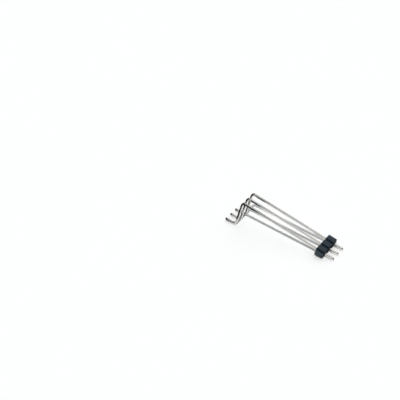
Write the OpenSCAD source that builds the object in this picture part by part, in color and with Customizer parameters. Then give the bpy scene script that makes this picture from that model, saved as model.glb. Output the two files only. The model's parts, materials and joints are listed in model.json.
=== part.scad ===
// Pin header strip: one row of square wire pins in a moulded insulator, with
// long leads bent down into legs and out again into short feet.
// It lies as it comes to rest on a table, on the lower front edge of the
// insulator and on the undersides of the foot bends.
// X runs from the feet to the short tails, Y along the row and Z up.

/* [Row] */
// Distance between neighbouring pins
pitch = 2.54; // [2:0.01:5.08]

/* [Insulator] */
// Length of the insulator along the pins
body_depth = 2.45; // [1.5:0.05:4]
// Height of the insulator, across the row and the pins
body_height = 2.5; // [2:0.05:4]
// Leg of the chamfers that make each position an octagon and leave the V notches
corner_cut = 0.45; // [0.2:0.05:0.8]
// Moulded break of the edges round the front and back faces
edge_break = 0.08; // [0.02:0.01:0.15]
// Gap between a pin and each side of its hole, none where the pin is a press fit
hole_gap = 0; // [0:0.005:0.03]
// Widening of each hole at the back face, where the pin was pressed in
lead_in = 0.12; // [0.02:0.01:0.2]

/* [Pin] */
// Side of the square wire
wire = 0.64; // [0.4:0.01:0.8]
// Radius of the wire's four long edges
wire_edge = 0.15; // [0.02:0.01:0.18]
// Length of the straight tail in front of the insulator
tail_length = 2.8; // [1.5:0.1:8]
// Length of the run, from the back of the insulator to the corner of its bend
run_length = 23.7; // [10:0.1:40]
// Length of the leg, from the corner of one bend to the corner of the other
leg_length = 8.3; // [4.5:0.1:12]
// Length of the foot, from the corner of its bend to its end
foot_length = 3.3; // [2.6:0.1:8]
// Inner radius of the bend between run and leg
run_bend = 0.5; // [0.3:0.05:1.2]
// Inner radius of the bend between leg and foot
foot_bend = 0.9; // [0.3:0.05:1.3]
// Length of the taper at both ends
tip_length = 0.45; // [0.2:0.05:0.6]
// Side of the small square face that the taper leaves
tip_side = 0.34; // [0.2:0.01:0.38]

/* [Hidden] */
NODES = ["insulator", "pin_1", "pin_2", "pin_3"];

// Every node but the insulator is a pin
positions = len(NODES) - 1;
row_length = positions * pitch;
// What a cutter reaches past the face that it cuts
overcut = 1;

// Radii of the wire's centre line in its two bends
run_bend_mid = run_bend + wire / 2;
foot_bend_mid = foot_bend + wire / 2;

// The tilt at which a point rests on the table together with the foot bends.
// The point lies in front of the insulator's back face and below the pins' axis.
foot_bend_outer = foot_bend + wire;
function tilt_on(front, below) =
    let (reach = front + run_length + foot_bend_mid, drop = leg_length - foot_bend_mid - below)
    atan2(drop, reach) + asin(foot_bend_outer / norm([reach, drop]));
// The row tips forward until the first such point touches: the insulator's edge,
// or the shoulder or end of the taper where the tails are long
rest_tilt = min(
    tilt_on(body_depth - edge_break, body_height / 2),
    tilt_on(body_depth + tail_length - tip_length, wire / 2),
    tilt_on(body_depth + tail_length, tip_side / 2)
);

// How far the tilted row reaches forward, back and down from the pins' axis at
// the insulator's back face, which places the origin under its middle
reach_front = (body_depth + tail_length) * cos(rest_tilt) + tip_side / 2 * sin(rest_tilt);
reach_back = (run_length + foot_length) * cos(rest_tilt) + (leg_length + tip_side / 2) * sin(rest_tilt);
reach_down = foot_bend_outer - (run_length + foot_bend_mid) * sin(rest_tilt)
    + (leg_length - foot_bend_mid) * cos(rest_tilt);

// Resolution of the wire's edges and of the bends
edge_fn = 24;
bend_fn = 72;

// Puts what is drawn along X, with the insulator's back face at 0, at rest on the table
module at_rest() {
    translate([(reach_back - reach_front) / 2, 0, reach_down])
        rotate([0, rest_tilt, 0])
            children();
}

// A bar along X whose edges are chamfered at both ends, but only those on its
// lower and upper sides
module slab(height, width) {
    rotate([90, 0, 0])
        linear_extrude(height = width, center = true)
            polygon([
                [edge_break, -height / 2],
                [body_depth - edge_break, -height / 2],
                [body_depth, -height / 2 + edge_break],
                [body_depth, height / 2 - edge_break],
                [body_depth - edge_break, height / 2],
                [edge_break, height / 2],
                [0, height / 2 - edge_break],
                [0, -height / 2 + edge_break]
            ]);
}

// The diamond whose four sides are the corner chamfers of one position
module position_diamond() {
    across = (pitch + body_height - 2 * corner_cut) / sqrt(2);
    intersection() {
        rotate([45, 0, 0]) slab(across, 2 * across);
        rotate([-45, 0, 0]) slab(across, 2 * across);
    }
}

// The square hole of one pin, with a funnel at the back face
module pin_hole() {
    side = wire + 2 * hole_gap;
    mouth = side / 2 + lead_in;
    translate([-overcut, -side / 2, -side / 2])
        cube([body_depth + 2 * overcut, side, side]);
    intersection_for(turn = [0, 90])
        rotate([turn, 0, 0])
            rotate([90, 0, 0])
                linear_extrude(height = 2 * mouth, center = true)
                    polygon([[0, -mouth], [lead_in, -side / 2], [lead_in, side / 2], [0, mouth]]);
}

// Puts a copy at each pin's place in the row
module along_row() {
    for (i = [0 : positions - 1])
        translate([0, pin_y(i), 0]) children();
}

// Place of a pin along the row, the first one at the far side
function pin_y(i) = ((positions - 1) / 2 - i) * pitch;

// One moulding: the outer slabs cut the row of diamonds to its height and length
module insulator() {
    color([0.07, 0.08, 0.1])
        at_rest()
            difference() {
                intersection() {
                    along_row() position_diamond();
                    slab(body_height, row_length + 2 * body_height);
                    rotate([90, 0, 0]) slab(row_length, 2 * body_height);
                }
                along_row() pin_hole();
            }
}

// Section of the wire: a square with rounded corners, round the origin
module wire_section() {
    flat = wire - 2 * wire_edge;
    square([wire, flat], center = true);
    square([flat, wire], center = true);
    for (x = [-1, 1])
        for (y = [-1, 1])
            translate([x * flat / 2, y * flat / 2])
                circle(r = wire_edge, $fn = edge_fn);
}

// Straight wire along X from one place to another
module wire_along_x(from, to) {
    translate([from, 0, 0])
        rotate([90, 0, 90])
            linear_extrude(height = to - from)
                wire_section();
}

// A quarter bend of the wire round the Y axis. Angles run from the +X side to the +Z side.
module wire_bend(radius, start) {
    rotate([90, 0, 0])
        rotate([0, 0, start])
            rotate_extrude(angle = 90, $fn = bend_fn)
                translate([radius, 0])
                    wire_section();
}

// The space that a tapered end fills: it narrows towards +X in both directions
module taper(end) {
    intersection_for(turn = [0, 90])
        rotate([turn, 0, 0])
            rotate([90, 0, 0])
                linear_extrude(height = wire + 2 * overcut, center = true)
                    polygon([
                        [end - tip_length - overcut, -wire / 2 - overcut],
                        [end - tip_length, -wire / 2],
                        [end, -tip_side / 2],
                        [end, tip_side / 2],
                        [end - tip_length, wire / 2],
                        [end - tip_length - overcut, wire / 2 + overcut]
                    ]);
}

// Straight wire along X that ends in a taper
module tapered_end(from, to) {
    wire_along_x(from, to - tip_length);
    intersection() {
        wire_along_x(to - tip_length, to);
        taper(to);
    }
}

// One pin of one piece, before it is laid down
module pin_blank() {
    // Tail, stretch inside the insulator and run
    tapered_end(run_bend_mid - run_length, body_depth + tail_length);
    // Bend from the run down into the leg
    translate([run_bend_mid - run_length, 0, -run_bend_mid])
        wire_bend(run_bend_mid, 90);
    // Leg
    translate([-run_length, 0, 0])
        rotate([0, 90, 0])
            wire_along_x(run_bend_mid, leg_length - foot_bend_mid);
    // Bend from the leg out into the foot
    translate([-run_length - foot_bend_mid, 0, foot_bend_mid - leg_length])
        wire_bend(foot_bend_mid, 270);
    // Foot
    translate([-run_length, 0, -leg_length])
        rotate([0, 0, 180])
            tapered_end(foot_bend_mid, foot_length);
}

module pin(i) {
    color([0.78, 0.77, 0.75])
        at_rest()
            translate([0, pin_y(i), 0])
                pin_blank();
}

insulator();
pin(0);  // pin_1
pin(1);  // pin_2
pin(2);  // pin_3
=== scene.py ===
"""A three-position pin header strip: a moulded insulator, three bent pins and a small studio."""
import json
import math

import bmesh
import bpy
from bpy.props import FloatProperty, FloatVectorProperty, PointerProperty
from mathutils import Matrix, Vector


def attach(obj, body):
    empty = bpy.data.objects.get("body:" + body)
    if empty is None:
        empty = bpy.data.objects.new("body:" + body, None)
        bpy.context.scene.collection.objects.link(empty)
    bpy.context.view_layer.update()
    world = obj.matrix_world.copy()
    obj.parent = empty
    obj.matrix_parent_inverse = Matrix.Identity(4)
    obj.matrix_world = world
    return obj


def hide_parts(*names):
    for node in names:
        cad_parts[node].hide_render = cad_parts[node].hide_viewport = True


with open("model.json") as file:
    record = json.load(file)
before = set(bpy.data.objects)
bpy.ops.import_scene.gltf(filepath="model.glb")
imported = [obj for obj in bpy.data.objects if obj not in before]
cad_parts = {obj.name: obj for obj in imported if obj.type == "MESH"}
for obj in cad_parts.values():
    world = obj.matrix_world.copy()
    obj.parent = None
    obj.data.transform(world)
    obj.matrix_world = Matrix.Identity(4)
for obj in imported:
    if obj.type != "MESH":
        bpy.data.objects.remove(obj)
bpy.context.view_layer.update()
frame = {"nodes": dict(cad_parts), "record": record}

bl_info = {
    "name": "Pin header strip",
    "version": (1, 0, 0),
    "blender": (4, 5, 0),
    "location": "View3D > Sidebar > Header",
    "description": "Models a row of bent square pins in a moulded insulator and sets it in a studio",
    "category": "Object",
}

# One millimetre, in metres
MM = 0.001
# Points nearer to each other than this, in metres, are one point
WELD = 2e-6
# A face is square to an axis if its normal has more than this share along it
SQUARE_ON = 0.99

# The insulator's front face, where the strip seats on a board, gives the strip's place and tilt
SEAT = next(m for m in frame["record"]["mounts"] if m["name"] == "board_seat")
PIN_NODES = sorted(name for name in frame["nodes"] if name.startswith("pin_"))
# How much further these pins' plate is mixed towards dull tin than that of the rest
PIN_DARKENING = {"pin_1": 0.3, "pin_3": 0.5}


def length(name, description, millimetres):
    """A size that a user can change. Its default is given in millimetres and kept in metres."""
    return FloatProperty(name=name, description=description, default=millimetres * MM,
                         min=0.0, precision=5, subtype="DISTANCE", unit="LENGTH")


def colour(name, description, default):
    """A linear colour that a user can change."""
    return FloatVectorProperty(name=name, description=description, default=default,
                               min=0.0, max=1.0, size=3, subtype="COLOR")


def share(name, description, default):
    """A number from 0 to 1 that a user can change."""
    return FloatProperty(name=name, description=description, default=default,
                         min=0.0, max=1.0, subtype="FACTOR")


def angle(name, description, degrees):
    """An angle that a user can change, in radians."""
    return FloatProperty(name=name, description=description, default=math.radians(degrees),
                         subtype="ANGLE", unit="ROTATION")


class HeaderSizes(bpy.types.PropertyGroup):
    """Sizes of the strip. They are those of its solids, but for the finer edges and the bulge."""
    pitch: length("Pitch", "Distance between neighbouring pins", 2.54)
    body_depth: length("Body depth", "Length of the insulator along the pins", 2.45)
    body_height: length("Body height", "Height of the insulator, across the row and the pins", 2.5)
    corner_cut: length("Corner cut", "Leg of the chamfers that leave the V notches", 0.45)
    edge_break: length("Edge break", "Rounding of the edges round the front and back faces", 0.08)
    corner_round: length("Corner round", "Rounding of the insulator's long edges", 0.04)
    lead_in: length("Lead-in", "Widening of each hole at the back face", 0.12)
    wire: length("Wire", "Side of the square wire", 0.64)
    edge_reach: length("Edge reach", "How far the rounding of the wire's edges spreads onto its faces", 0.26)
    edge_shape: share("Edge shape", "0.5 is a round edge, and more is a tighter one on crowned faces", 0.68)
    tail_length: length("Tail", "Length of the straight tail in front of the insulator", 2.8)
    run_length: length("Run", "Length from the insulator's back to the corner of the bend", 23.7)
    leg_length: length("Leg", "Length from the corner of one bend to that of the other", 8.3)
    foot_length: length("Foot", "Length from the corner of the foot's bend to its end", 3.3)
    run_bend: length("Run bend", "Inner radius of the bend between run and leg", 0.5)
    foot_bend: length("Foot bend", "Inner radius of the bend between leg and foot", 0.9)
    tip_length: length("Tip length", "Length of the taper at both ends", 0.45)
    tip_side: length("Tip side", "Side of the small square face that the taper leaves", 0.34)
    bulge: share("Bulge", "How much the wire widens inside a bend, as a share of its side", 0.05)


class HeaderFinishes(bpy.types.PropertyGroup):
    """Colours and finishes of the strip's two materials."""
    plastic: colour("Plastic", "Colour of the moulded insulator", (0.0042, 0.0100, 0.0175))
    plastic_sheen: colour("Plastic sheen", "Tint of what the moulded faces mirror", (0.76, 0.92, 1.0))
    plastic_pale: colour("Pale plastic", "Colour of its worn grain and of its snapped ends",
                         (0.030, 0.041, 0.050))
    plastic_gloss: share("Plastic roughness", "Roughness of the moulded faces", 0.34)
    tin: colour("Tin", "Colour of the bright tin plate", (0.80, 0.78, 0.75))
    # Dull tin also carries the painted shade that darkens the wire towards its bends
    tin_dull: colour("Dull tin", "Colour of the plate where it has tarnished a little", (0.52, 0.50, 0.47))
    brass: colour("Brass", "Colour of the wire's core where its ends were cut", (0.60, 0.45, 0.24))
    tin_gloss: share("Tin roughness", "Roughness of the clean plate", 0.10)


class HeaderStudio(bpy.types.PropertyGroup):
    """Camera, lamp and surroundings."""
    azimuth: angle("Azimuth", "Direction from which the camera looks, round the strip", 32.32)
    elevation: angle("Elevation", "Height of the camera above the horizon", 35.39)
    distance: length("Distance", "Distance from the camera to the point that it looks at", 416.1)
    focal_length: FloatProperty(name="Focal length", description="Focal length of the camera's lens",
                                default=135.0, min=1.0, unit="CAMERA")
    target: FloatVectorProperty(name="Target", description="Point on the floor that the camera looks at",
                                default=(-27.76 * MM, 2.0 * MM, 0.0), size=3, subtype="TRANSLATION",
                                unit="LENGTH", precision=5)
    sun_strength: FloatProperty(name="Key strength", description="Strength of the key lamp",
                                default=2.6, min=0.0)
    sun_size: angle("Key size", "Angle that the key lamp covers, which softens the shadows", 2.5)
    sun_course: FloatVectorProperty(name="Key course",
                                    description="Direction in which the key lamp's light travels",
                                    default=(-0.33, 0.69, -1.0), size=3, subtype="DIRECTION")
    sky_glow: colour("Sky glow", "Colour of the soft light behind and above the strip", (0.76, 0.795, 0.80))
    sky_dim: colour("Sky dim", "Colour of the rest of the room", (0.115, 0.120, 0.122))
    floor_white: share("Floor", "How white the floor looks", 0.98)
    floor_bounce: share("Floor bounce", "How much light the floor gives back to the strip", 0.85)


# Modelling helpers


def only(piece):
    """Selects one object and makes it the active one."""
    bpy.ops.object.select_all(action="DESELECT")
    piece.select_set(True)
    bpy.context.view_layer.objects.active = piece


def edit(piece):
    """Enters edit mode on one object."""
    only(piece)
    bpy.ops.object.mode_set(mode="EDIT")


def leave():
    """Goes back to object mode."""
    bpy.ops.object.mode_set(mode="OBJECT")


def edit_new():
    """Puts the place of a new primitive in its mesh, enters edit mode on it and returns it."""
    piece = bpy.context.object
    only(piece)
    bpy.ops.object.transform_apply(location=True, rotation=True, scale=True)
    edit(piece)
    return piece


def face_outwards():
    """Turns every face of the piece in edit mode outwards."""
    bpy.ops.mesh.select_all(action="SELECT")
    bpy.ops.mesh.normals_make_consistent(inside=False)


def pick(kind, test):
    """Selects what passes a test in edit mode. Kind is VERT, EDGE or FACE."""
    bpy.ops.mesh.select_mode(type=kind)
    bpy.ops.mesh.select_all(action="DESELECT")
    mesh = bmesh.from_edit_mesh(bpy.context.object.data)
    parts = {"VERT": mesh.verts, "EDGE": mesh.edges, "FACE": mesh.faces}[kind]
    found = [part for part in parts if test(part)]
    for part in found:
        part.select_set(True)
    mesh.select_flush_mode()
    bmesh.update_edit_mesh(bpy.context.object.data)
    if not found:
        raise RuntimeError(f"nothing to select on {bpy.context.object.name}")


def near(value, wanted):
    """True if two lengths are the same to within a weld."""
    return abs(value - wanted) < WELD


def middle(edge):
    """The middle of an edge."""
    return (edge.verts[0].co + edge.verts[1].co) / 2


def extrude(x, y, z):
    """Extrudes what is selected by a step."""
    bpy.ops.mesh.extrude_region_move(TRANSFORM_OT_translate={"value": (x, y, z)})


def apply_all(piece):
    """Applies every modifier of a piece in order."""
    only(piece)
    for name in [modifier.name for modifier in piece.modifiers]:
        bpy.ops.object.modifier_apply(modifier=name)


def lay_down(piece, sizes):
    """Moves a finished piece from its own drawing to where the strip lies, and puts that in its mesh."""
    along = Vector(SEAT["axis"])
    across = Vector((0, 1, 0))
    turn = Matrix((along, across, along.cross(across))).transposed().to_4x4()
    front = Vector(SEAT["pos_m"])
    front.y = 0
    place = Matrix.Translation(front) @ turn @ Matrix.Translation((-sizes.body_depth, 0, 0))
    piece.matrix_world = place
    only(piece)
    bpy.ops.object.transform_apply(location=True, rotation=True, scale=True)


def finish_piece(piece, slot, *nodes):
    """Ties a piece to the strip's body and hides the solids that it stands for. Its material slot is not
    used.
    """
    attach(piece, "root")
    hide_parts(*nodes)


# Shader helpers


class Socket:
    """An output of a node. Python's arithmetic on it adds Math nodes."""

    def __init__(self, shader, output):
        self.shader = shader
        self.output = output

    def math(self, operation, first, second):
        """Adds a Math node on two values."""
        return self.shader.node("ShaderNodeMath", {"operation": operation}, {0: first, 1: second})

    def __add__(self, other):
        return self.math("ADD", self, other)

    def __radd__(self, other):
        return self.math("ADD", other, self)

    def __sub__(self, other):
        return self.math("SUBTRACT", self, other)

    def __rsub__(self, other):
        return self.math("SUBTRACT", other, self)

    def __mul__(self, other):
        return self.math("MULTIPLY", self, other)

    def __rmul__(self, other):
        return self.math("MULTIPLY", other, self)

    def band(self, low, high):
        """0 below low, 1 above high and a smooth step between them."""
        return self.shader.node("ShaderNodeMapRange", {"interpolation_type": "SMOOTHSTEP"},
                                {"Value": self, "From Min": low, "From Max": high})


class Shader:
    """A node tree, with one method that adds any node."""

    def __init__(self, owner):
        owner.use_nodes = True
        self.tree = owner.node_tree
        self.tree.nodes.clear()

    def node(self, kind, settings=None, inputs=None, output=0):
        """Adds a node, with its settings first and then its sockets' values or links."""
        made = self.tree.nodes.new(kind)
        for name, value in (settings or {}).items():
            setattr(made, name, value)
        for key, value in (inputs or {}).items():
            if isinstance(value, Socket):
                self.tree.links.new(value.output, made.inputs[key])
            else:
                made.inputs[key].default_value = value
        return Socket(self, made.outputs[output]) if made.outputs else None

    def mix(self, factor, first, second):
        """A colour between two colours."""
        return self.node("ShaderNodeMix", {"data_type": "RGBA"}, {0: factor, 6: first, 7: second}, 2)

    def noise(self, vector, scale, detail, roughness=0.5):
        """Soft noise from 0 to 1. Its scale is in cells to one unit of the vector."""
        return self.node("ShaderNodeTexNoise", None,
                         {"Vector": vector, "Scale": scale, "Detail": detail, "Roughness": roughness})

    def attribute(self, name):
        """A number that the mesh carries at each point."""
        return self.node("ShaderNodeAttribute", {"attribute_name": name}, None, "Fac")

    def point(self, x, y, z):
        """A vector from three values."""
        return self.node("ShaderNodeCombineXYZ", None, {"X": x, "Y": y, "Z": z})

    def bump(self, height, distance, strength):
        """A normal from a height map whose full height is the distance, in metres."""
        return self.node("ShaderNodeBump", None,
                         {"Height": height, "Distance": distance, "Strength": strength})

    def finish(self, surface, kind="ShaderNodeOutputMaterial"):
        """Links the surface to the tree's output."""
        self.node(kind, None, {"Surface": surface})


def rgba(values):
    """A colour with its alpha."""
    return (*values, 1.0)


def moulded_plastic(finishes):
    """Black glass-filled plastic: fine moulded grain, paler flecks and slow colour drift."""
    material = bpy.data.materials.new("moulded_plastic")
    shader = Shader(material)
    place = shader.node("ShaderNodeTexCoord", None, None, "Object")
    grain = shader.noise(place, 26000.0, 4.0, 0.6)
    flow = shader.noise(place, 900.0, 2.0)
    flecks = shader.noise(place, 60000.0, 1.0).band(0.62, 0.74)
    snapped = shader.attribute("snapped")
    pale = snapped * 0.7 + flecks * 0.1 + flow * 0.14
    base = shader.mix(pale, rgba(finishes.plastic), rgba(finishes.plastic_pale))
    matt = shader.attribute("matt")
    gloss = finishes.plastic_gloss + (flow - 0.5) * 0.16 + (grain - 0.5) * 0.12 + snapped * 0.2
    relief = shader.bump(grain * 0.7 + flow * 0.3, 4e-6, 0.5)

    def moulded(roughness, specular):
        """One of the two finishes that the mould leaves."""
        return shader.node("ShaderNodeBsdfPrincipled", None, {
            "Base Color": base,
            "Roughness": roughness,
            "Specular IOR Level": specular,
            "Specular Tint": rgba(finishes.plastic_sheen),
            "Normal": relief,
        })

    satin = moulded(gloss, 0.42)
    dull = moulded(gloss + 0.4, 0.05)
    shader.finish(shader.node("ShaderNodeMixShader", None, {0: matt, 1: satin, 2: dull}))
    return material


def bare_metal(shader, base, roughness, normal):
    """Ends a material as metal."""
    shader.finish(shader.node("ShaderNodeBsdfPrincipled", None, {
        "Base Color": base,
        "Metallic": 1.0,
        "Roughness": roughness,
        "Normal": normal,
    }))


def tin_plate(finishes):
    """Bright tin over drawn wire: streaks along the wire, dull patches, rubbed bends and painted shade that
    darkens the wire towards its bends.
    """
    material = bpy.data.materials.new("tin_plate")
    shader = Shader(material)
    along = shader.attribute("along")
    around = shader.attribute("around")
    bent = shader.attribute("bent")
    place = shader.node("ShaderNodeTexCoord", None, None, "Object")
    streaks = shader.noise(shader.point(along * 0.35, around * 9.0, 0.0), 1.0, 3.0, 0.6)
    drift = shader.noise(place, 420.0, 2.0)
    blotches = shader.noise(place, 1700.0, 3.0, 0.6).band(0.5, 0.72)
    # Painted shade: the plate is drawn darker with the distance from the tail's end, given here in
    # millimetres
    painted_shade_along = 0.45 + along.band(4.0, 32.0) * 0.55
    aged = shader.attribute("aged")
    # Tarnish from streaks, blotches and drift, plus each pin's own darkening, all scaled by the painted shade
    # along the wire
    dull = (streaks.band(0.45, 0.8) * 0.35 + blotches * 0.3 + drift.band(0.4, 0.8) * 0.25 + aged) * painted_shade_along
    base = shader.mix(dull, rgba(finishes.tin), rgba(finishes.tin_dull))
    gloss = finishes.tin_gloss + streaks * 0.05 + blotches * 0.08 + bent * 0.06
    waves = shader.noise(shader.point(along * 0.8, around * 2.2, 0.0), 1.0, 2.0)
    relief = streaks * 0.25 + waves * 0.75
    bare_metal(shader, base, gloss, shader.bump(relief, 8e-6, 0.6))
    return material


def cut_end(finishes):
    """The sheared end of the wire: bare brass, partly smeared over with tin."""
    material = bpy.data.materials.new("cut_end")
    shader = Shader(material)
    place = shader.node("ShaderNodeTexCoord", None, None, "Object")
    smear = shader.noise(place, 9000.0, 3.0, 0.6)
    lines = shader.node("ShaderNodeTexWave", {"bands_direction": "Z"},
                        {"Vector": place, "Scale": 7000.0, "Distortion": 3.0, "Detail": 2.0}, "Fac")
    base = shader.mix(smear.band(0.45, 0.62), rgba(finishes.brass), rgba(finishes.tin_dull))
    relief = lines * 0.6 + smear * 0.4
    bare_metal(shader, base, 0.34 + smear * 0.14, shader.bump(relief, 1e-5, 0.5))
    return material


# The insulator


def position_block(sizes):
    """One octagonal position without its side faces, ready to be repeated along the row."""
    depth, half_pitch, half_height = sizes.body_depth, sizes.pitch / 2, sizes.body_height / 2
    bpy.ops.mesh.primitive_cube_add(size=1, location=(depth / 2, 0, 0),
                                    scale=(depth, sizes.pitch, sizes.body_height))
    block = edit_new()
    pick("EDGE", lambda e: near(abs(middle(e).y), half_pitch) and near(abs(middle(e).z), half_height))
    bpy.ops.mesh.bevel(offset=sizes.corner_cut, segments=1, affect="EDGES")
    pick("FACE", lambda f: abs(f.normal.y) > SQUARE_ON)
    bpy.ops.mesh.delete(type="FACE")
    leave()
    return block


def repeat_along_row(piece, sizes):
    """Repeats a piece along the row, centred on the middle pin, and welds where copies meet."""
    row = piece.modifiers.new("row", "ARRAY")
    row.count = len(PIN_NODES)
    row.use_relative_offset = False
    row.use_constant_offset = True
    row.constant_offset_displace = (0, sizes.pitch, 0)
    row.use_merge_vertices = True
    row.merge_threshold = WELD
    apply_all(piece)
    piece.location.y = -(len(PIN_NODES) - 1) / 2 * sizes.pitch
    bpy.ops.object.transform_apply(location=True, rotation=False, scale=False)


def row_reach(sizes):
    """Distance from the middle of the row to either end."""
    return len(PIN_NODES) * sizes.pitch / 2


def close_ends(body, sizes):
    """Closes both ends of the row, where the strip was snapped off."""
    reach = row_reach(sizes)
    edit(body)
    for side in (-1, 1):
        pick("EDGE", lambda e: near(middle(e).y, side * reach) and e.is_boundary)
        bpy.ops.mesh.edge_face_add()
    face_outwards()
    leave()


def round_edges(body, sizes):
    """Rounds the rims of the front and back faces, and the long edges a little less."""
    mesh = body.data
    weights = mesh.attributes.new("bevel_weight_edge", "FLOAT", "EDGE")
    for edge in mesh.edges:
        first, second = (mesh.vertices[i].co for i in edge.vertices)
        runs_back = abs(first.x - second.x) > sizes.body_depth / 2
        weights.data[edge.index].value = sizes.corner_round / sizes.edge_break if runs_back else 1.0
    bevel = body.modifiers.new("edges", "BEVEL")
    bevel.limit_method = "WEIGHT"
    bevel.width = sizes.edge_break
    bevel.segments = 4
    apply_all(body)


# Relief of the snapped ends: how far from the rim it starts, how far it takes to grow and how deep it is
FRACTURE_INSET = 0.06 * MM
FRACTURE_FADE = 0.4 * MM
FRACTURE_DEPTH = 0.09 * MM


def grid_snapped_ends(body):
    """Cuts the inside of both end faces into a grid, and keeps the points of each as a group."""
    cuts = 35
    # Only the end faces are larger than this
    least_area = 1.0 * MM * MM
    edit(body)
    for side in (-1, 1):
        pick("FACE", lambda f: side * f.normal.y > SQUARE_ON and f.calc_area() > least_area)
        bpy.ops.mesh.inset(thickness=FRACTURE_INSET)
        bpy.ops.mesh.subdivide(number_cuts=cuts)
        bpy.ops.object.vertex_group_assign_new()
        # The rim's faces now have many corners in one line, so each is cut from its middle
        pick("FACE", lambda f: side * f.normal.y > SQUARE_ON and len(f.verts) > 4)
        bpy.ops.mesh.poke()
    leave()
    for group, name in zip(list(body.vertex_groups), ("snapped_near", "snapped_far")):
        group.name = name


def fade_in_relief(body, sizes):
    """Gives the points of each group a weight that grows from the rim of the end face."""
    half_x = sizes.body_depth / 2 - sizes.edge_break - FRACTURE_INSET
    half_z = sizes.body_height / 2 - sizes.corner_cut - FRACTURE_INSET
    for group in body.vertex_groups:
        members = [v for v in body.data.vertices if any(g.group == group.index for g in v.groups)]
        for vertex in members:
            from_rim = min(half_x - abs(vertex.co.x - sizes.body_depth / 2), half_z - abs(vertex.co.z))
            weight = min(max(from_rim / FRACTURE_FADE, 0.0), 1.0)
            group.add([vertex.index], weight, "REPLACE")


def mark_snapped_ends(body, sizes):
    """Marks both end faces for the plastic's own shader."""
    reach = row_reach(sizes)
    snapped = body.data.attributes.new("snapped", "FLOAT", "POINT")
    for vertex in body.data.vertices:
        if near(abs(vertex.co.y), reach):
            snapped.data[vertex.index].value = 1.0


def roughen_snapped_ends(body, sizes):
    """Gives the two snapped end faces the low relief of a fracture, inside their plane."""
    grid_snapped_ends(body)
    clouds = bpy.data.textures.new("fracture", "CLOUDS")
    clouds.noise_scale = 0.24 * MM
    clouds.noise_depth = 4
    fade_in_relief(body, sizes)
    mark_snapped_ends(body, sizes)
    for group, side in zip(body.vertex_groups, (-1, 1)):
        fracture = body.modifiers.new(group.name, "DISPLACE")
        fracture.texture = clouds
        fracture.texture_coords = "LOCAL"
        fracture.direction = "Y"
        fracture.vertex_group = group.name
        # The texture runs from 0 to 1, so the face only moves into the body
        fracture.mid_level = 0.0
        fracture.strength = -side * FRACTURE_DEPTH
    apply_all(body)
    body.vertex_groups.clear()


def hole_cutter(sizes):
    """A square bar through the body, widened to a funnel at the back face."""
    side, over = sizes.wire, 1.0 * MM
    bpy.ops.mesh.primitive_plane_add(size=side, location=(sizes.body_depth + over, 0, 0),
                                     rotation=(0, math.pi / 2, 0))
    cutter = edit_new()
    bpy.ops.mesh.select_all(action="SELECT")
    extrude(sizes.lead_in - sizes.body_depth - over, 0, 0)
    extrude(-sizes.lead_in - sizes.lead_in, 0, 0)
    # Two lead-ins wider on each side at its end, the bar is one wider where it passes the back face
    growth = (side + 4 * sizes.lead_in) / side
    bpy.ops.transform.resize(value=(1, growth, growth), center_override=(-sizes.lead_in, 0, 0))
    face_outwards()
    leave()
    return cutter


def cut_holes(body, sizes):
    """Cuts the row of pin holes through the body."""
    cutter = hole_cutter(sizes)
    repeat_along_row(cutter, sizes)
    holes = body.modifiers.new("holes", "BOOLEAN")
    holes.operation = "DIFFERENCE"
    holes.solver = "EXACT"
    holes.object = cutter
    apply_all(body)
    bpy.data.objects.remove(cutter)


def mark_matt_faces(body, sizes):
    """Marks the front face, and the back face less, which the mould leaves duller than the long sides."""
    front_share, back_share = 1.0, 0.4
    matt = body.data.attributes.new("matt", "FLOAT", "POINT")
    for vertex in body.data.vertices:
        if near(vertex.co.x, sizes.body_depth):
            matt.data[vertex.index].value = front_share
        elif near(vertex.co.x, 0):
            matt.data[vertex.index].value = back_share


def smooth_faces(piece, degrees):
    """Shades a piece smooth below an angle, with flat faces kept flat."""
    only(piece)
    bpy.ops.object.shade_smooth_by_angle(angle=math.radians(degrees))
    weighted = piece.modifiers.new("weighted", "WEIGHTED_NORMAL")
    weighted.keep_sharp = True
    apply_all(piece)


def model_insulator(sizes):
    """The whole moulding, in its own drawing with the back face at X 0."""
    body = position_block(sizes)
    body.name = "moulded_insulator"
    repeat_along_row(body, sizes)
    close_ends(body, sizes)
    round_edges(body, sizes)
    roughen_snapped_ends(body, sizes)
    cut_holes(body, sizes)
    mark_matt_faces(body, sizes)
    smooth_faces(body, degrees=30)
    return body


# The pins


def wire_ends(sizes):
    """Where the tail ends and where the foot ends, both in X."""
    return sizes.body_depth + sizes.tail_length, -sizes.run_length - sizes.foot_length


def wire_course(sizes):
    """Radii of the two bends at the wire's middle, where the run ends in X and the leg ends in Z."""
    run_mid = sizes.run_bend + sizes.wire / 2
    foot_mid = sizes.foot_bend + sizes.wire / 2
    return run_mid, foot_mid, run_mid - sizes.run_length, foot_mid - sizes.leg_length


def wire_section(sizes, shoulder):
    """The wire's rounded square section, at the shoulder of the tail's tip."""
    bpy.ops.mesh.primitive_plane_add(size=sizes.wire, location=(shoulder, 0, 0),
                                     rotation=(0, math.pi / 2, 0))
    pin = edit_new()
    bpy.ops.mesh.select_all(action="SELECT")
    bpy.ops.mesh.bevel(offset=sizes.edge_reach, segments=10, profile=sizes.edge_shape, affect="VERTICES")
    return pin


def taper(sizes, step):
    """Extrudes the selected end face by a step and narrows it to the tip's side."""
    extrude(*step)
    mesh = bmesh.from_edit_mesh(bpy.context.object.data)
    centre = next(f for f in mesh.faces if f.select).calc_center_median()
    ratio = sizes.tip_side / sizes.wire
    bpy.ops.transform.resize(value=(ratio, ratio, ratio), center_override=centre)


def bend(centre, steps, turn):
    """Spins the selected end face through a quarter turn about the Y direction."""
    bpy.ops.mesh.spin(steps=steps, angle=turn * math.pi / 2, center=centre, axis=(0, 1, 0))


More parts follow.
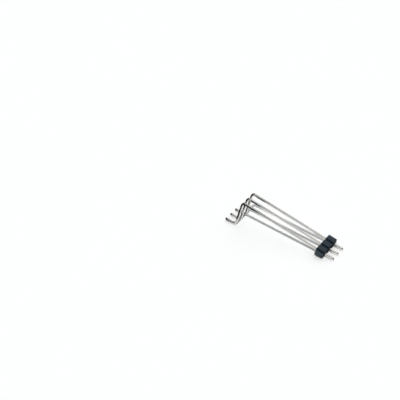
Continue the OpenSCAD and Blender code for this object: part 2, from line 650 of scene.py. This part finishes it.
def swell_bend(sizes, centre, radius, start, steps):
    """Widens the inner side of a bend and narrows its outer side, as bending does to a square wire."""
    # How far off its ring a point may be, in radians, and the narrowing as a share of the widening
    play, narrowing = 0.2 / steps, 0.6
    for step in range(1, steps):
        turn = step / steps
        course = start + turn * math.pi / 2
        amount = math.sin(math.pi * turn) * sizes.bulge
        for inner in (True, False):
            def on_ring(vertex):
                x, z = vertex.co.x - centre[0], vertex.co.z - centre[2]
                off = math.remainder(math.atan2(z, x) - course, 2 * math.pi)
                far = math.hypot(x, z)
                side = far < radius if inner else far > radius
                return abs(off) < play and side and far < radius + sizes.wire
            pick("VERT", on_ring)
            factor = 1 + amount if inner else 1 - amount * narrowing
            bpy.ops.transform.resize(value=(1, factor, 1), center_override=centre)


def place_on_wire(x, z, sizes):
    """Distance from the tail's end, offset from the wire's middle line and, from 0 to 1, how bent it is."""
    tail_end = wire_ends(sizes)[0]
    run_mid, foot_mid, run_end, leg_end = wire_course(sizes)
    straight = tail_end - run_end
    leg = sizes.leg_length - run_mid - foot_mid
    if x >= run_end:
        return tail_end - x, z, 0.0
    if z > leg_end and x > run_end - run_mid - sizes.wire and z > -run_mid:
        course = math.atan2(run_end - x, z + run_mid)
        off = math.hypot(run_end - x, z + run_mid) - run_mid
        return straight + course * run_mid, off, math.sin(2 * course)
    if z > leg_end:
        return straight + run_mid * math.pi / 2 - run_mid - z, -x - sizes.run_length, 0.0
    if x > -sizes.run_length - foot_mid:
        course = math.atan2(leg_end - z, x + sizes.run_length + foot_mid)
        off = foot_mid - math.hypot(x + sizes.run_length + foot_mid, leg_end - z)
        return straight + run_mid * math.pi / 2 + leg + course * foot_mid, off, math.sin(2 * course)
    distance = straight + (run_mid + foot_mid) * math.pi / 2 + leg - sizes.run_length - foot_mid - x
    return distance, z + sizes.leg_length, 0.0


def measure_wire(pin, sizes):
    """Gives each point its place along and round the wire, in millimetres, and how bent the wire is there."""
    names = ("along", "around", "bent")
    layers = {name: pin.data.attributes.new(name, "FLOAT", "POINT") for name in names}
    for vertex in pin.data.vertices:
        x, y, z = vertex.co
        distance, off, bent = place_on_wire(x, z, sizes)
        layers["along"].data[vertex.index].value = distance / MM
        layers["around"].data[vertex.index].value = math.atan2(y, off) * sizes.wire / 2 / MM
        layers["bent"].data[vertex.index].value = bent


def model_pin(sizes):
    """One pin in its own drawing: the section is extruded along the wire and spun round both bends."""
    tail_end, foot_end = wire_ends(sizes)
    run_mid, foot_mid, run_end, leg_end = wire_course(sizes)
    shoulder = tail_end - sizes.tip_length
    run_centre = (run_end, 0, -run_mid)
    foot_centre = (-sizes.run_length - foot_mid, 0, leg_end)
    steps = 14
    pin = wire_section(sizes, shoulder)
    pin.name = "bent_pin"
    extrude(run_end - shoulder, 0, 0)
    bend(run_centre, steps, 1)
    extrude(0, 0, leg_end + run_mid)
    bend(foot_centre, steps, -1)
    extrude(foot_end + sizes.tip_length + sizes.run_length + foot_mid, 0, 0)
    taper(sizes, (-sizes.tip_length, 0, 0))
    pick("FACE", lambda f: near(f.calc_center_median().x, shoulder) and abs(f.normal.x) > SQUARE_ON)
    taper(sizes, (sizes.tip_length, 0, 0))
    bpy.ops.mesh.select_all(action="SELECT")
    bpy.ops.mesh.remove_doubles(threshold=WELD)
    bpy.ops.mesh.normals_make_consistent(inside=False)
    shoulders = (shoulder, foot_end + sizes.tip_length)
    pick("EDGE", lambda e: all(any(near(v.co.x, place) for place in shoulders) for v in e.verts))
    bpy.ops.mesh.mark_sharp()
    swell_bend(sizes, run_centre, run_mid, math.pi / 2, steps)
    swell_bend(sizes, foot_centre, foot_mid, -math.pi / 2, steps)
    leave()
    measure_wire(pin, sizes)
    return pin


class HEADER_OT_mould_insulator(bpy.types.Operator):
    """Mould the insulator that holds the row of pins"""
    bl_idname = "header.mould_insulator"
    bl_label = "Mould the insulator"
    bl_options = {"REGISTER", "UNDO"}

    def execute(self, context):
        sizes, finishes = context.scene.header_sizes, context.scene.header_finishes
        body = model_insulator(sizes)
        lay_down(body, sizes)
        body.data.materials.append(moulded_plastic(finishes))
        finish_piece(body, "insulator", "insulator")
        return {"FINISHED"}


class HEADER_OT_bend_pins(bpy.types.Operator):
    """Draw, bend and taper one pin, and copy it to each place in the row"""
    bl_idname = "header.bend_pins"
    bl_label = "Bend the pins"
    bl_options = {"REGISTER", "UNDO"}

    def execute(self, context):
        sizes, finishes = context.scene.header_sizes, context.scene.header_finishes
        first = model_pin(sizes)
        smooth_faces(first, degrees=40)
        first.data.materials.append(tin_plate(finishes))
        first.data.materials.append(cut_end(finishes))
        # The two faces where the wire was cut take the second material
        for face in first.data.polygons:
            if any(near(face.center.x, end) for end in wire_ends(sizes)):
                face.material_index = 1
        for place, node in enumerate(PIN_NODES):
            pin = first.copy()
            pin.data = first.data.copy()
            pin.name = f"bent_{node}"
            aged = pin.data.attributes.new("aged", "FLOAT", "POINT")
            for point in aged.data:
                point.value = PIN_DARKENING.get(node, 0.0)
            context.scene.collection.objects.link(pin)
            pin.location.y = ((len(PIN_NODES) - 1) / 2 - place) * sizes.pitch
            only(pin)
            bpy.ops.object.transform_apply(location=True, rotation=False, scale=False)
            lay_down(pin, sizes)
            finish_piece(pin, "pin", node)
        bpy.data.objects.remove(first)
        return {"FINISHED"}


def aim(thing, direction):
    """Turns a lamp or camera so that it looks along a direction."""
    thing.rotation_mode = "QUATERNION"
    thing.rotation_quaternion = Vector(direction).to_track_quat("-Z", "Y")


def pale_floor(studio):
    """A matt floor that looks white and keeps the strip's shadow."""
    material = bpy.data.materials.new("pale_floor")
    shader = Shader(material)
    rays = [shader.node("ShaderNodeLightPath", None, None, name)
            for name in ("Is Camera Ray", "Is Glossy Ray", "Is Transmission Ray")]
    seen = rays[0].math("MAXIMUM", rays[0].math("MAXIMUM", rays[0], rays[1]), rays[2])
    plain = shader.node("ShaderNodeBsdfDiffuse", None, {"Color": rgba([studio.floor_bounce] * 3)})
    white = shader.node("ShaderNodeBsdfDiffuse", None, {"Color": rgba([studio.floor_white] * 3)})
    shader.finish(shader.node("ShaderNodeMixShader", None, {0: seen, 1: plain, 2: white}))
    return material


def studio_sky(studio):
    """Soft light all round: bright behind and above the strip, dimmer on the camera's side."""
    world = bpy.data.worlds.new("studio_sky")
    shader = Shader(world)
    # The glow's middle, and the cosines of the angles from it at which the glow begins and is full
    centre = Vector((0, 0.45, 0.89)).normalized()
    edge, full = 0.67, 0.87
    way = shader.node("ShaderNodeTexCoord", None, None, "Generated")
    facing = shader.node("ShaderNodeVectorMath", {"operation": "DOT_PRODUCT"},
                         {0: way, 1: centre}, "Value")
    sky = shader.mix(facing.band(edge, full), rgba(studio.sky_dim), rgba(studio.sky_glow))
    shader.finish(shader.node("ShaderNodeBackground", None, {"Color": sky, "Strength": 1.0}),
                  "ShaderNodeOutputWorld")
    return world


# Cards that only reflections show: dark ones give the metal dark lines to mirror, and a glowing one
# brightens the top faces of the tails. Each has its middle, width and height in millimetres, its turn
# and lean in degrees, and how pale it is.
CARDS = {
    "soft_card": ((15.5, 28.0, 33.0), 21.0, 34.0, 0.0, 90.0, 1.0),
    "tall_card": ((-18.0, -17.8, 45.0), 24.0, 90.0, 12.0, 90.0, 0.02),
    "low_card": ((-15.25, -5.95, 3.75), 20.4, 7.5, -52.2, 90.0, 0.06),
    "far_card": ((-24.0, 16.5, 19.0), 23.0, 18.0, 90.0, 90.0, 0.05),
    "far_card_low": ((-24.0, 14.5, 5.0), 19.0, 10.0, 90.0, 90.0, 0.30),
    "tail_card": ((15.5, -20.0, 26.5), 13.0, 47.0, 0.0, 90.0, 0.02),
    "tip_card": ((24.75, 16.0, 15.5), 8.5, 13.0, 0.0, 90.0, 0.01),
    "floor_card_left": ((-22.35, -5.0, 0.02), 11.3, 16.0, 0.0, 0.0, 0.02),
    "floor_card_near": ((-14.35, -7.2, 0.02), 4.7, 3.6, 0.0, 0.0, 0.02),
    "floor_card_between": ((-15.85, -4.45, 0.02), 1.7, 1.9, 0.0, 0.0, 0.02),
    "floor_card_middle": ((-15.3, -1.6, 0.02), 2.8, 0.9, 0.0, 0.0, 0.02),
    "floor_card_far": ((-15.3, 0.95, 0.02), 2.8, 0.9, 0.0, 0.0, 0.02),
}


def hang_card(name, place, width, height, turn, lean, shade):
    """Adds one card. It stands at a lean of 90 degrees, and the soft one glows by itself."""
    bpy.ops.mesh.primitive_plane_add(size=1.0, location=[value * MM for value in place],
                                     rotation=(math.radians(lean), 0, math.radians(turn)))
    card = bpy.context.object
    card.name = name
    card.scale = (width * MM, height * MM, 1.0)
    material = bpy.data.materials.new(name)
    shader = Shader(material)
    kind = "ShaderNodeEmission" if name == "soft_card" else "ShaderNodeBsdfDiffuse"
    shader.finish(shader.node(kind, None, {"Color": rgba([shade] * 3)}))
    card.data.materials.append(material)
    card.visible_camera = False
    card.visible_diffuse = False
    card.visible_shadow = False
    card.visible_transmission = False


def lay_floor(studio):
    """Lays a wide floor under the strip."""
    bpy.ops.mesh.primitive_plane_add(size=4.0)
    floor = bpy.context.object
    floor.name = "floor"
    floor.data.materials.append(pale_floor(studio))


def hang_lamp(studio):
    """Hangs the key lamp, which the strip doesn't mirror."""
    bpy.ops.object.light_add(type="SUN")
    key = bpy.context.object
    key.name = "key"
    key.data.energy = studio.sun_strength
    key.data.angle = studio.sun_size
    key.visible_glossy = False
    aim(key, studio.sun_course)


def place_camera(studio):
    """Places the camera at its distance from the target, and makes it the scene's own."""
    side, height = studio.azimuth, studio.elevation
    level = math.cos(height)
    back = Vector((math.sin(side) * level, -math.cos(side) * level, math.sin(height)))
    bpy.ops.object.camera_add(location=Vector(studio.target) + back * studio.distance)
    camera = bpy.context.object
    camera.data.sensor_width = 36.0
    camera.data.lens = studio.focal_length
    camera.data.clip_start = 0.01
    camera.data.clip_end = 10.0
    aim(camera, -back)
    bpy.context.scene.camera = camera


class HEADER_OT_set_studio(bpy.types.Operator):
    """Lay the floor, hang the lamp and the cards, and place the camera"""
    bl_idname = "header.set_studio"
    bl_label = "Set the studio"
    bl_options = {"REGISTER", "UNDO"}

    def execute(self, context):
        studio = context.scene.header_studio
        lay_floor(studio)
        hang_lamp(studio)
        context.scene.world = studio_sky(studio)
        for name, shape in CARDS.items():
            hang_card(name, *shape)
        place_camera(studio)
        context.scene.view_settings.view_transform = "Standard"
        return {"FINISHED"}


class HEADER_PT_strip(bpy.types.Panel):
    """Sizes, finishes and studio of the strip, with a button for each step"""
    bl_idname = "HEADER_PT_strip"
    bl_label = "Pin header strip"
    bl_space_type = "VIEW_3D"
    bl_region_type = "UI"
    bl_category = "Header"

    def draw(self, context):
        steps = (
            (context.scene.header_sizes, ("header.mould_insulator", "header.bend_pins")),
            (context.scene.header_finishes, ()),
            (context.scene.header_studio, ("header.set_studio",)),
        )
        for group, operators in steps:
            box = self.layout.box()
            for name in group.bl_rna.properties.keys():
                if name not in ("rna_type", "name"):
                    box.prop(group, name)
            for operator in operators:
                box.operator(operator)


CLASSES = (
    HeaderSizes,
    HeaderFinishes,
    HeaderStudio,
    HEADER_OT_mould_insulator,
    HEADER_OT_bend_pins,
    HEADER_OT_set_studio,
    HEADER_PT_strip,
)


def register():
    """Registers the classes and hangs the settings on the scene."""
    for item in CLASSES:
        bpy.utils.register_class(item)
    bpy.types.Scene.header_sizes = PointerProperty(type=HeaderSizes)
    bpy.types.Scene.header_finishes = PointerProperty(type=HeaderFinishes)
    bpy.types.Scene.header_studio = PointerProperty(type=HeaderStudio)


def unregister():
    """Takes the settings and the classes away again."""
    del bpy.types.Scene.header_studio
    del bpy.types.Scene.header_finishes
    del bpy.types.Scene.header_sizes
    for item in reversed(CLASSES):
        bpy.utils.unregister_class(item)


def main():
    """Builds the whole scene."""
    register()
    bpy.ops.object.select_all(action="DESELECT")
    bpy.ops.header.mould_insulator()
    bpy.ops.header.bend_pins()
    bpy.ops.header.set_studio()


if __name__ == "__main__":
    main()
